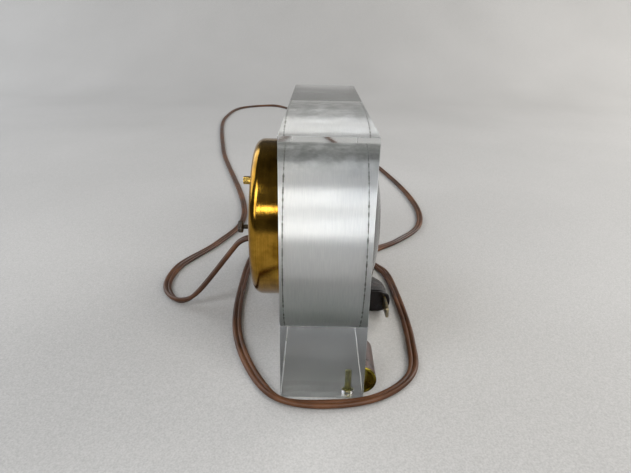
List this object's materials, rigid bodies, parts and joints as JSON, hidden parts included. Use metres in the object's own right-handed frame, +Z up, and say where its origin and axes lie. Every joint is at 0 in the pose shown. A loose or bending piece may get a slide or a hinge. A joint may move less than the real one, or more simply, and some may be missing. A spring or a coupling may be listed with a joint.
{
  "type": "acrylic electric clock",
  "caption": "Desk clock: a thick clear acrylic block with a round metal-lined bore, a domed crystal in front, a brass motor can behind, and a loose mains lead with a two-blade plug.",
  "frame": {"origin": "centre of the acrylic block's underside, on the surface that it stands on", "axes": "+X along the block's width, towards the right of the dial as its reader sees it; +Y from the dial to the back; +Z up"},
  "size_m": [0.8503, 0.2565, 0.1207],
  "materials": {
    "clear_acrylic": "polished clear acrylic",
    "clear_crystal": "moulded clear crystal",
    "satin_aluminium": "satin",
    "aged_brass": "aged, fine turning marks",
    "bright_brass": "plain",
    "grey_steel": "plain",
    "dark_steel": "varnished laminations",
    "copper": "copper",
    "cream_enamel": "matt cream enamel",
    "black_enamel": "satin enamel",
    "red_enamel": "satin enamel",
    "brown_plastic": "satin brown",
    "dark_plastic": "moulded",
    "tan_board": "pressed board",
    "black_rubber": "matt"
  },
  "bodies": {
    "case": {"acrylic_block": "clear_acrylic", "bore_sleeve": "satin_aluminium", "bezel_ring": "aged_brass", "crystal_dome": "clear_crystal", "dial_plate": "cream_enamel", "front_plate": "bright_brass", "back_plate": "bright_brass", "plate_pillar_1": "bright_brass", "plate_pillar_2": "bright_brass", "plate_pillar_3": "bright_brass", "plate_screw_1": "grey_steel", "plate_screw_2": "grey_steel", "plate_screw_3": "grey_steel", "motion_stud": "grey_steel", "stator_core": "dark_steel", "core_post_1": "bright_brass", "core_post_2": "bright_brass", "coil_bobbin": "tan_board", "coil_winding": "copper", "coil_lead_1": "brown_plastic", "coil_lead_2": "brown_plastic", "rotor_capsule": "copper", "rear_can": "aged_brass", "can_stud_1": "bright_brass", "can_stud_2": "bright_brass", "can_stud_3": "bright_brass", "can_nut_1": "bright_brass", "can_nut_2": "bright_brass", "can_nut_3": "bright_brass", "lead_bushing": "black_rubber", "foot_near": "brown_plastic", "foot_far": "brown_plastic", "foot_cap_near": "aged_brass", "foot_cap_far": "aged_brass", "foot_screw_near": "bright_brass", "foot_screw_far": "bright_brass", "mains_lead": "brown_plastic", "plug_body": "dark_plastic", "plug_blade_front": "bright_brass", "plug_blade_back": "bright_brass"},
    "minute_train": {"centre_pipe": "grey_steel", "clutch_spring": "grey_steel", "minute_hand": "black_enamel"},
    "hour_train": {"hour_wheel": "bright_brass", "hour_hand": "black_enamel"},
    "motion_train": {"motion_wheel": "bright_brass"},
    "setting_train": {"setting_shaft": "grey_steel", "setting_knob": "brown_plastic"},
    "second_train": {"second_arbor": "grey_steel", "second_wheel": "bright_brass", "second_hand": "red_enamel"},
    "intermediate_train": {"intermediate_arbor": "grey_steel", "intermediate_wheel": "bright_brass"},
    "centre_wheel_train": {"centre_wheel": "bright_brass"},
    "rotor_output": {"rotor_spindle": "grey_steel"}
  },
  "joints": [
    {"name": "minute_turn", "type": "hinge", "parent": "case", "child": "minute_train", "pos_m": [0, 0, 0.0584], "axis": [0, 1, 0], "continuous": true},
    {"name": "hour_turn", "type": "hinge", "parent": "case", "child": "hour_train", "pos_m": [0, 0, 0.0584], "axis": [0, 1, 0], "continuous": true},
    {"name": "motion_turn", "type": "hinge", "parent": "case", "child": "motion_train", "pos_m": [-0.008, 0, 0.04571], "axis": [0, 1, 0], "continuous": true},
    {"name": "setting_turn", "type": "hinge", "parent": "case", "child": "setting_train", "pos_m": [-0.016, 0, 0.0584], "axis": [0, 1, 0], "continuous": true},
    {"name": "second_turn", "type": "hinge", "parent": "case", "child": "second_train", "pos_m": [0, 0, 0.0584], "axis": [0, 1, 0], "continuous": true},
    {"name": "intermediate_turn", "type": "hinge", "parent": "case", "child": "intermediate_train", "pos_m": [0.01018, 0, 0.06858], "axis": [0, 1, 0], "continuous": true},
    {"name": "centre_wheel_turn", "type": "hinge", "parent": "case", "child": "centre_wheel_train", "pos_m": [0, 0, 0.0584], "axis": [0, 1, 0], "continuous": true},
    {"name": "rotor_turn", "type": "hinge", "parent": "case", "child": "rotor_output", "pos_m": [0, 0, 0.0434], "axis": [0, 1, 0], "continuous": true}
  ],
  "couplings": [
    {"joint": "hour_turn", "follows": "minute_turn", "ratio": 0.083333},
    {"joint": "motion_turn", "follows": "minute_turn", "ratio": -0.33333},
    {"joint": "setting_turn", "follows": "minute_turn", "ratio": 1},
    {"joint": "rotor_turn", "follows": "second_turn", "ratio": -4},
    {"joint": "intermediate_turn", "follows": "second_turn", "ratio": -0.13333},
    {"joint": "centre_wheel_turn", "follows": "second_turn", "ratio": 0.016667}
  ]
}
